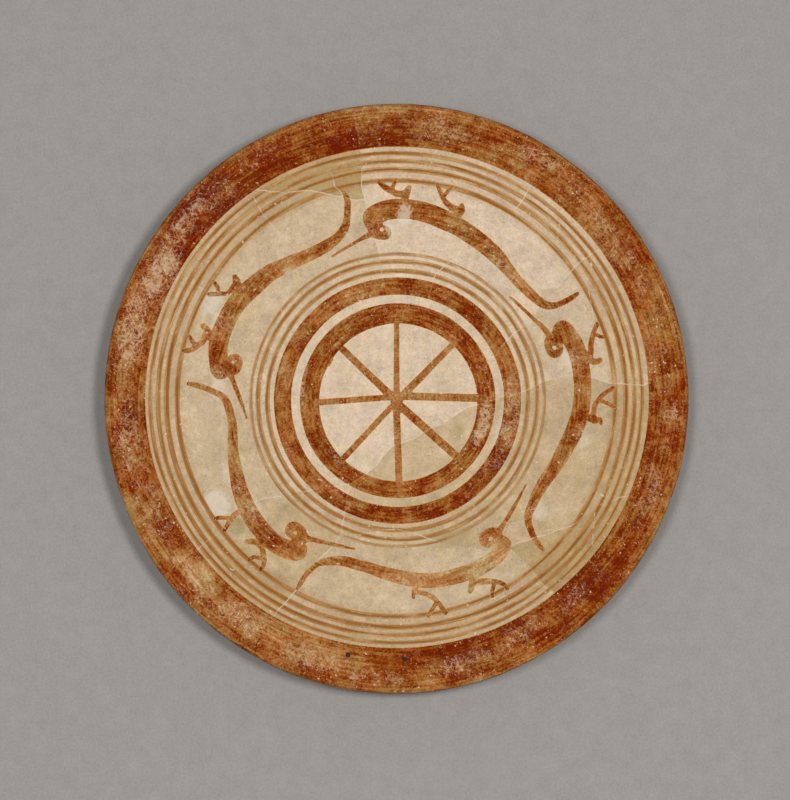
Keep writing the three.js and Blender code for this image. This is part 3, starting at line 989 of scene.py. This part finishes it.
def made(tree, kind, values, output=0, **settings):
    """One output of a new shader node of this kind, with these settings and values in its slots."""
    node = tree.nodes.new("ShaderNode" + kind)
    for setting, value in settings.items():
        setattr(node, setting, value)
    feed(tree, node.inputs, values)
    return Field(tree, node.outputs[output])


def colour(red, green, blue):
    """A colour as it is seen, 0 to 255, as the renderer wants it."""
    parts = [value / 255 for value in (red, green, blue)]
    parts = [((part + 0.055) / 1.055) ** 2.4 if part > 0.04045 else part / 12.92 for part in parts]
    return (*parts, 1.0)


class Surface:
    """A material being built, with the textures that its formula is made of."""

    def __init__(self, name):
        self.material = bpy.data.materials.new(name)
        self.material.use_nodes = True
        self.tree = self.material.node_tree
        self.shader = self.tree.nodes["Principled BSDF"]
        self.place = made(self.tree, "TexCoord", {}, "Object")
        parts = made(self.tree, "SeparateXYZ", {0: self.place}).socket.node
        self.x, self.y, self.z = (Field(self.tree, socket) for socket in parts.outputs)

    def attribute(self, name):
        return made(self.tree, "Attribute", {}, "Fac", attribute_name=name)

    def vector(self, x, y, z):
        return made(self.tree, "CombineXYZ", {0: x, 1: y, 2: z})

    def noise(self, size, detail=2.0, place=None, seed=0.0, roughness=0.5):
        """Smooth noise from 0 to 1 with details of this size; the seed is a number or a field."""
        values = {"Vector": place or self.place, "W": seed, "Scale": 1 / size, "Detail": detail,
                  "Roughness": roughness}
        return made(self.tree, "TexNoise", values, noise_dimensions="4D")

    def mix(self, share, first, second):
        """The first colour, with this share of the second over it."""
        return made(self.tree, "Mix", {0: share, 6: first, 7: second}, 2, data_type="RGBA")

    def darken(self, amount, base):
        """The colour multiplied by this field."""
        values = {0: 1.0, 6: base, 7: amount}
        return made(self.tree, "Mix", values, 2, data_type="RGBA", blend_type="MULTIPLY")

    def ramp(self, amount, stops):
        """The colour that a row of (place, colour) stops has at this amount."""
        toned = made(self.tree, "ValToRGB", {0: amount})
        elements = toned.socket.node.color_ramp.elements
        for index, (place, tone) in enumerate(stops):
            element = elements[index] if index < 2 else elements.new(place)
            element.position = place
            element.color = tone
        return toned

    def finish(self, base, roughness, height=None, depth=0.0, specular=0.25):
        """The finished material, with bumps of this depth where a height is given."""
        values = {"Base Color": base, "Roughness": roughness, "Specular IOR Level": specular}
        if height is not None:
            bumps = {"Strength": 1.0, "Distance": depth, "Height": height}
            values["Normal"] = made(self.tree, "Bump", bumps)
        feed(self.tree, self.shader.inputs, values)
        return self.material


# Where the rings painted on the turning plate are, in mm: broad bands as (inner edge, outer edge), thin
# lines as (middle, half the width, strength). The plate was not centred again after each turn, so every
# group of rings has its own middle.
TONDO_RING_IN = (40.85, (0.8, -1.0))
INNER_MIDDLE = (0.45, -0.1)
OUTER_MIDDLE = (-0.3, 0.1)
RIM_MIDDLE = (0.2, 0.4)
TONDO_RING_OUT = 50.45
WALL_RING = (54.95, 63.75)
INNER_LINES = [(67.1, 1.22, 0.93), (71.85, 1.22, 0.9), (75.5, 0.92, 0.78)]
OUTER_LINES = [(111.95, 1.32, 0.96), (117.35, 1.36, 1.0), (121.5, 1.18, 0.98), (125.4, 1.1, 0.94)]
RIM_BAND = 128.3
UNDER_BAND = 141.0
UNDER_LINE = (119.5, 1.4)
# How softly their edges end, in mm either way.
BAND_EDGE = 0.22
RIM_EDGE = 0.3
UNDER_EDGE = 0.4
LINE_EDGE = 0.24

CREAM_FRESH = colour(214, 193, 171)
CREAM_AGED = colour(183, 158, 119)
CREAM_PINKER = colour(255, 253, 250)
CREAM_YELLOWER = colour(253, 251, 238)
CREAM_RUBBED = colour(219, 207, 190)
CREAM_YELLOW = colour(196, 172, 118)
SPECK = colour(118, 98, 68)
SLIP_TONES = [(0.17, colour(204, 170, 124)), (0.38, colour(180, 134, 84)), (0.58, colour(160, 103, 50)),
              (0.73, colour(140, 71, 17)), (0.85, colour(119, 41, 3)), (1.0, colour(104, 27, 1))]
SLIP_REDDER = colour(255, 239, 224)
SLIP_OLIVE = colour(248, 255, 250)
SLIP_FROST = colour(189, 153, 124)
POWDER = colour(206, 182, 156)
SWIRL = colour(206, 168, 134)
DUST = colour(232, 216, 192)
OUTER_TINT = colour(246, 240, 233)
WHITE = colour(255, 255, 255)
LINE_WASH = colour(194, 156, 104)
LINE_BROWN = colour(162, 112, 60)
LINE_CORE = colour(138, 83, 28)
FLECK = colour(230, 196, 152)
STAIN = colour(150, 132, 84)
JOIN_PALE = colour(228, 212, 186)
JOIN_TAN = colour(178, 124, 78)
BARE_CLAY = colour(188, 146, 104)
FOOT_CLAY = colour(190, 148, 106)
FOOT_HANDLED = colour(164, 118, 78)
FOOT_RUBBED = colour(208, 178, 140)
PAPER = colour(157, 153, 149)


def past(radius, place, edge=BAND_EDGE):
    """0 nearer than this distance in mm and 1 farther out, with a soft edge."""
    return radius.rise((place - edge) * MM, (place + edge) * MM)


def between(radius, inner, outer, edge=BAND_EDGE):
    """1 between two distances in mm, with soft edges."""
    return past(radius, inner, edge) * past(radius, outer, edge).rest()


def thin_lines(radius, lines):
    washes = [between(radius, middle - half, middle + half, LINE_EDGE) * strength
              for middle, half, strength in lines]
    return sum(washes[1:], washes[0])


class ClaySurface(Surface):
    """The textures that the sherds, the plaster and the join filling share."""

    def __init__(self, name):
        super().__init__(name)
        self.radius = (self.x * self.x + self.y * self.y).math("SQRT")
        self.turn = (self.x / self.radius, self.y / self.radius)
        self.sherd = self.attribute("sherd")
        self.fine = self.noise(1.1 * MM, 3) + -0.5
        self.grain = self.noise(1.0 * MM, 3, seed=4.0) + -0.5
        self.cloud = self.noise(9 * MM, 4, seed=self.sherd * 3.1) + -0.5
        self.broad = self.noise(26 * MM, 2, seed=self.sherd * 1.7 + 5.0) + -0.5
        self.bristles = self.brushed(5.0, 850.0, 3) + -0.5
        self.wander = (self.brushed(1.6, 18.0, 2) + -0.5) * (0.9 * MM) + self.fine * (0.45 * MM)
        outside = self.radius.rise(0.0525, 0.0575)
        self.worn = self.attribute("worn") + self.attribute("fade") * outside * 0.35 + self.broad * 0.5

    def brushed(self, along, across, detail, seed=0.0):
        """Noise drawn out round the wheel; its two numbers are how often it changes along and across."""
        x, y = self.turn
        return self.noise(1.0, detail, self.vector(x * along, y * along, self.radius * across), seed)

    def scored(self, degrees, seed):
        """Noise drawn out into short straight scratches at this angle."""
        across_x, across_y = polar(1.0, degrees)
        along = (self.x * across_y - self.y * across_x) * 170.0
        across = (self.x * across_x + self.y * across_y) * 1500.0
        return self.noise(1.0, 2, self.vector(along, across, 0.0), seed)

    def from_middle(self, middle):
        """The distance from a ring's own middle, wandering a little as the brush did."""
        x, y = self.x - middle[0] * MM, self.y - middle[1] * MM
        return (x * x + y * y).math("SQRT") + self.wander

    def stroke(self, name):
        """Inside this kind of brush stroke, with a slightly ragged edge."""
        return (self.attribute(name) + self.fine * (0.5 * MM)).rise(-0.12 * MM, 0.22 * MM)


def slip_cover(s):
    """Where the painter's slip lies thick: the rings, the rim, the spokes and the herons."""
    edge, inner = s.from_middle(TONDO_RING_IN[1]), s.from_middle(INNER_MIDDLE)
    tondo_ring = past(edge, TONDO_RING_IN[0]) * past(inner, TONDO_RING_OUT).rest()
    rim = past(s.from_middle(RIM_MIDDLE), RIM_BAND, RIM_EDGE)
    rings = tondo_ring.over(between(inner, *WALL_RING)).over(rim)
    return rings.over(s.stroke("heron")).over(s.stroke("spoke") * 0.92)


def slip_load(s):
    """How thick the slip is where it lies, 1 being the darkest, with a painted highlight on the rounded
    lip.
    """
    patches = s.noise(16 * MM, 5, seed=s.sherd * 2.3, roughness=0.9) + -0.5
    # Painted highlight: from 147 mm outwards the slip is made thinner and so paler, lifting the shade
    # where the rounded lip turns away from the lamps.
    edge = s.radius.rise(0.1470, 0.1488)
    heron, spoke = s.attribute("heron"), s.attribute("spoke")
    slender = heron.rise(0.6 * MM, 2.6 * MM).rest() * 0.08 + 0.08
    drawn = heron.rise(-0.3 * MM, 0.1 * MM) * slender + spoke.rise(-0.3 * MM, 0.1 * MM) * 0.12
    # The real thin patches and thin strokes are taken off the load here, together with the lip's painted
    # highlight.
    thin = s.attribute("thin") * 0.30 + edge * 0.12 + drawn
    return s.bristles * 0.95 + patches * 1.75 + s.grain * 0.6 - thin + 0.72


def cream_clay(s):
    """The cream slip over the whole plate: aged, stained, rubbed and specked."""
    mottle = s.noise(13 * MM, 5, seed=s.sherd * 3.7, roughness=0.95) + -0.5
    yellow = s.noise(18 * MM, 6, seed=s.sherd + 2.6, roughness=0.8).rise(0.46, 0.66) * 0.3
    cream = s.mix(s.attribute("age"), CREAM_FRESH, CREAM_AGED)
    cream = s.mix(yellow * (s.attribute("age") * 0.6 + 0.5), cream, CREAM_YELLOW)
    cream = s.darken(s.mix(between(s.radius, 109, 129, 1.5), WHITE, OUTER_TINT), cream)
    hue = s.noise(3 * MM, 4, seed=s.sherd + 3.9, roughness=0.8).rise(0.38, 0.62)
    cream = s.darken(s.mix(hue, CREAM_PINKER, CREAM_YELLOWER), cream)
    cream = s.darken(mottle * 1.4 + s.grain * 0.46 + s.broad * 0.08 + 1.0, cream)
    specks = s.noise(1.0 * MM, 1, seed=9.0).rise(0.64, 0.70)
    specks = specks * s.noise(16 * MM, 2, seed=9.5).rise(0.42, 0.62)
    cream = s.mix(specks * 0.5, cream, SPECK)
    marked = s.attribute("stained")
    stained = (marked + s.cloud * 0.9 + mottle * 0.9) * marked.rise(0.0, 0.3)
    cream = s.mix(stained.rise(0.1, 1.0) * 0.6, cream, STAIN)
    rubbed = (s.worn + s.cloud * 1.4 + mottle * 1.5).rise(0.25, 1.1)
    return s.mix(rubbed * 0.6, cream, CREAM_RUBBED), specks


def rubbing(s):
    """Where the slip is rubbed pale, where it is worn to powder, and where fine scrapes cross it."""
    scored = s.scored(25, 0.3).over(s.scored(80, 1.3)).over(s.scored(145, 2.3)) + -0.62
    rub = s.noise(1.7 * MM, 4, seed=6.1, roughness=0.65) + s.cloud * 0.6
    rub = rub + s.bristles * 0.5 + scored * 1.1
    frost = (rub + s.worn * 0.24).rise(0.56, 0.98)
    powder = (s.worn * 0.5 + rub * 1.3).rise(1.05, 1.9)
    swirl = (s.noise(3.4 * MM, 1, seed=7.4) + -0.5).math("ABSOLUTE").rise(0.006, 0.028).rest()
    swirl = swirl.over(scored.rise(0.05, 0.12) * 0.8) * (s.worn + s.cloud * 2.0).rise(0.2, 1.0)
    return frost, powder, swirl


def worn_slip(s, load):
    """The slip's colour at this thickness, paler where it is rubbed and flecked where it has flaked."""
    frost, powder, swirl = rubbing(s)
    slip = s.ramp(load - frost * 0.34 - powder * 0.25, SLIP_TONES)
    hue = s.noise(15 * MM, 4, seed=s.sherd + 0.7, roughness=0.7).rise(0.42, 0.58)
    slip = s.darken(s.mix(hue, SLIP_REDDER, SLIP_OLIVE), slip)
    slip = s.mix(frost * 0.5, slip, SLIP_FROST)
    slip = s.mix(swirl * 0.45, slip, SWIRL)
    slip = s.mix(powder * 0.75, slip, POWDER)
    flecks = s.noise(0.8 * MM, 1, seed=2.2).rise(0.66, 0.72)
    flecks = flecks * s.noise(9 * MM, 2, seed=3.3).rise(0.40, 0.65)
    return s.mix(flecks * 0.8, slip, FLECK), frost


def lines_over(s, load, cream):
    """The thin lines: a wash of slip, with a darker core where it ran to one side of the brush."""
    streaks = s.brushed(6.0, 1000.0, 2, seed=1.7).rise(0.38, 0.62)
    depth = streaks * 0.3 + (load + -0.72) * 0.95 + 0.46
    aside = (s.brushed(1.6, 230.0, 1, seed=7.7) + -0.5) * (2.6 * MM)
    washes, cores = [], []
    for middle, lines in ((INNER_MIDDLE, INNER_LINES), (OUTER_MIDDLE, OUTER_LINES)):
        radius = s.from_middle(middle)
        washes.append(thin_lines(radius, lines))
        narrow = [(place, half * 0.45, strength) for place, half, strength in lines]
        cores.append(thin_lines(radius + aside, narrow))
    wash = s.mix(depth.rise(0.2, 1.0), LINE_WASH, LINE_BROWN)
    body = s.mix((washes[0] + washes[1]) * depth.rise(-0.1, 0.55), cream, wash)
    pooled = s.brushed(5.0, 260.0, 3, seed=2.9).rise(0.32, 0.58) * depth.rise(0.05, 0.5)
    return s.mix((cores[0] + cores[1]) * (washes[0] + washes[1]) * pooled * 0.85, body, LINE_CORE)


def mended_marks(s):
    """Pale lines where joins and old scratches show."""
    on_rim = s.radius.rise(0.126, 0.129)
    seen = s.noise(16 * MM, 2, seed=8.8).rise(0.36, 0.62) * (on_rim * -0.8 + 1.0)
    crack = (s.attribute("join") + s.fine * (0.6 * MM)).rise(0.10 * MM, 0.36 * MM).rest() * seen
    scratch = (s.attribute("scratch") + s.fine * (0.3 * MM)).rise(-0.1 * MM, 0.15 * MM)
    return (crack * 0.62).over(scratch * s.noise(3 * MM, 2, seed=1.4).rise(0.35, 0.6) * 0.5)


def bare_underside(s, load, frost):
    """Bare clay with a band of slip run over from the rim and one turned line."""
    clay = s.darken(s.cloud * 0.25 + s.grain * 0.2 + 1.0, BARE_CLAY)
    plain = s.radius + s.wander
    middle, half = UNDER_LINE
    band = past(plain, UNDER_BAND, UNDER_EDGE)
    slip_here = band.over(between(plain, middle - half, middle + half) * 0.6) * load
    slip = s.mix(frost * 0.7, s.ramp(slip_here, SLIP_TONES), SLIP_FROST)
    return s.mix(slip_here.rise(0.0, 0.25), clay, slip)


def painted_surface(name):
    """Cream-slipped clay with the painter's red-brown slip on it, aged and mended sherd by sherd."""
    s = ClaySurface(name)
    cover, load = slip_cover(s), slip_load(s)
    cream, specks = cream_clay(s)
    slip, frost = worn_slip(s, cover * load)
    body = s.mix((cover * load).rise(0.0, 0.25), lines_over(s, load, cream), slip)
    upper = s.attribute("painted_side")
    body = s.mix(upper, bare_underside(s, load, frost), body)
    film = cover * upper
    marks = mended_marks(s)
    body = s.mix(marks, body, s.mix((film * load).rise(0.3, 0.6), JOIN_PALE, JOIN_TAN))
    dust = s.noise(1.5 * MM, 0, seed=5.7).rise(0.755, 0.80)
    dust = dust * s.noise(20 * MM, 1, seed=6.6).rise(0.42, 0.55)
    body = s.mix(dust * 0.6, body, DUST)
    height = s.grain * 0.5 + s.fine * 0.4 + film * frost.rest() * 0.35 + specks * -0.5 + marks * -0.6
    return s.finish(body, film * -0.16 + 0.86, height, 0.12 * MM, specular=0.02)


def foot_clay():
    """Bare clay, darker where hands held it and paler where it has rubbed on shelves."""
    s = Surface("foot_clay")
    cloud = s.noise(8 * MM, 4)
    grain = s.noise(0.8 * MM, 4)
    base = s.mix(cloud.rise(0.3, 0.7), FOOT_CLAY, FOOT_HANDLED)
    rubbed = (s.z + (grain + -0.5) * (1.5 * MM)).rise(0.2 * MM, 1.4 * MM).rest()
    base = s.mix(rubbed * 0.6, base, FOOT_RUBBED)
    base = s.darken((grain + -0.5) * 0.25 + 1.0, base)
    return s.finish(base, 0.88, grain, 0.15 * MM)


def paper():
    """Plain studio paper, almost even."""
    s = Surface("studio_paper")
    fibre = s.noise(1.1 * MM, 3, roughness=0.8) + -0.5
    cloud = s.noise(7 * MM, 4, seed=1.2, roughness=0.7) + -0.5
    base = s.darken(fibre * 0.64 + cloud * 0.28 + 1.0, PAPER)
    return s.finish(base, 0.95, specular=0.0)


def stage_floor():
    corners = [(x * FLOOR_HALF, y * FLOOR_HALF, 0) for x, y in ((-1, -1), (1, -1), (1, 1), (-1, 1))]
    new_mesh("floor", corners, [(0, 1, 2, 3)], {}, paper())


# The picture is 790 by 800 pixels, and the plate's rim is 585 of them across.
PICTURE_WIDTH = 790
PICTURE_HEIGHT = 800
PLATE_MIDDLE = (396.6, 396.7)
PLATE_PIXELS = 584.5
CAMERA_DISTANCE = 1.8
CAMERA_ELEVATION = 85.2

FLOOR_HALF = 2.5
# The two lamps, as (place, share of the light that shows a colour as it is), how wide they are, and
# how strong the light from all round is.
RIGHT_LAMP = ((0.31, -0.08, 1.9), 0.45)
LEFT_LAMP = ((-0.21, -0.11, 1.9), 0.34)
LAMP_SIZE = 0.24
SURROUND_LIGHT = 0.22


def make_camera():
    """Almost straight above, as in the photograph, with the plate where it lies in the picture."""
    data = bpy.data.cameras.new("camera")
    pixel = 2 * (RIM_RADIUS - RIM_OVAL) / PLATE_PIXELS
    data.sensor_width = 36
    data.lens = data.sensor_width * CAMERA_DISTANCE / (PICTURE_HEIGHT * pixel)
    data.shift_x = (PICTURE_WIDTH / 2 - PLATE_MIDDLE[0]) / PICTURE_HEIGHT
    data.shift_y = (PLATE_MIDDLE[1] - PICTURE_HEIGHT / 2) / PICTURE_HEIGHT
    camera = in_scene("camera", data)
    tilt = math.radians(CAMERA_ELEVATION)
    away = Vector((0, -math.cos(tilt), math.sin(tilt)))
    camera.location = Vector((0, 0, LIP_MIDDLE)) + away * CAMERA_DISTANCE
    camera.rotation_euler = (math.radians(90) - tilt, 0, 0)
    bpy.context.scene.camera = camera


def disk_lamp(name, place, share):
    """A soft lamp aimed at the plate, as strong as its share of the light asks for."""
    data = bpy.data.lights.new(name, "AREA")
    data.shape = "DISK"
    data.size = LAMP_SIZE
    reach = Vector(place).length
    slant = math.asin(math.hypot(place[0], place[1]) / reach)
    data.energy = share * math.pi**2 * reach**2 / math.cos(slant)
    lamp = in_scene(name, data)
    lamp.location = place
    lamp.rotation_euler = (math.asin(-place[1] / reach), math.atan2(place[0], place[2]), 0)


def make_lights():
    """A soft lamp high on either side, over an even pale surround."""
    disk_lamp("right_lamp", *RIGHT_LAMP)
    disk_lamp("left_lamp", *LEFT_LAMP)
    world = bpy.data.worlds.new("surround")
    world.use_nodes = True
    background = world.node_tree.nodes["Background"]
    background.inputs["Color"].default_value = WHITE
    background.inputs["Strength"].default_value = SURROUND_LIGHT
    bpy.context.scene.world = world


make_camera()
make_lights()
stage_floor()
bpy.context.scene.view_settings.view_transform = "Standard"

clay = painted_surface("painted_clay")
plaster = painted_surface("toned_plaster")
for order, (sherd_name, described) in enumerate(SHERDS.items()):
    sherd_mesh(sherd_name, *described, order, clay)
sherd_mesh("plaster_fill", *FILL, len(SHERDS), plaster)
foot_material = foot_clay()
for foot_name, (foot_start, foot_end) in FEET.items():
    foot_mesh(foot_name, foot_start, foot_end, foot_material)
adhesive_mesh(plaster)
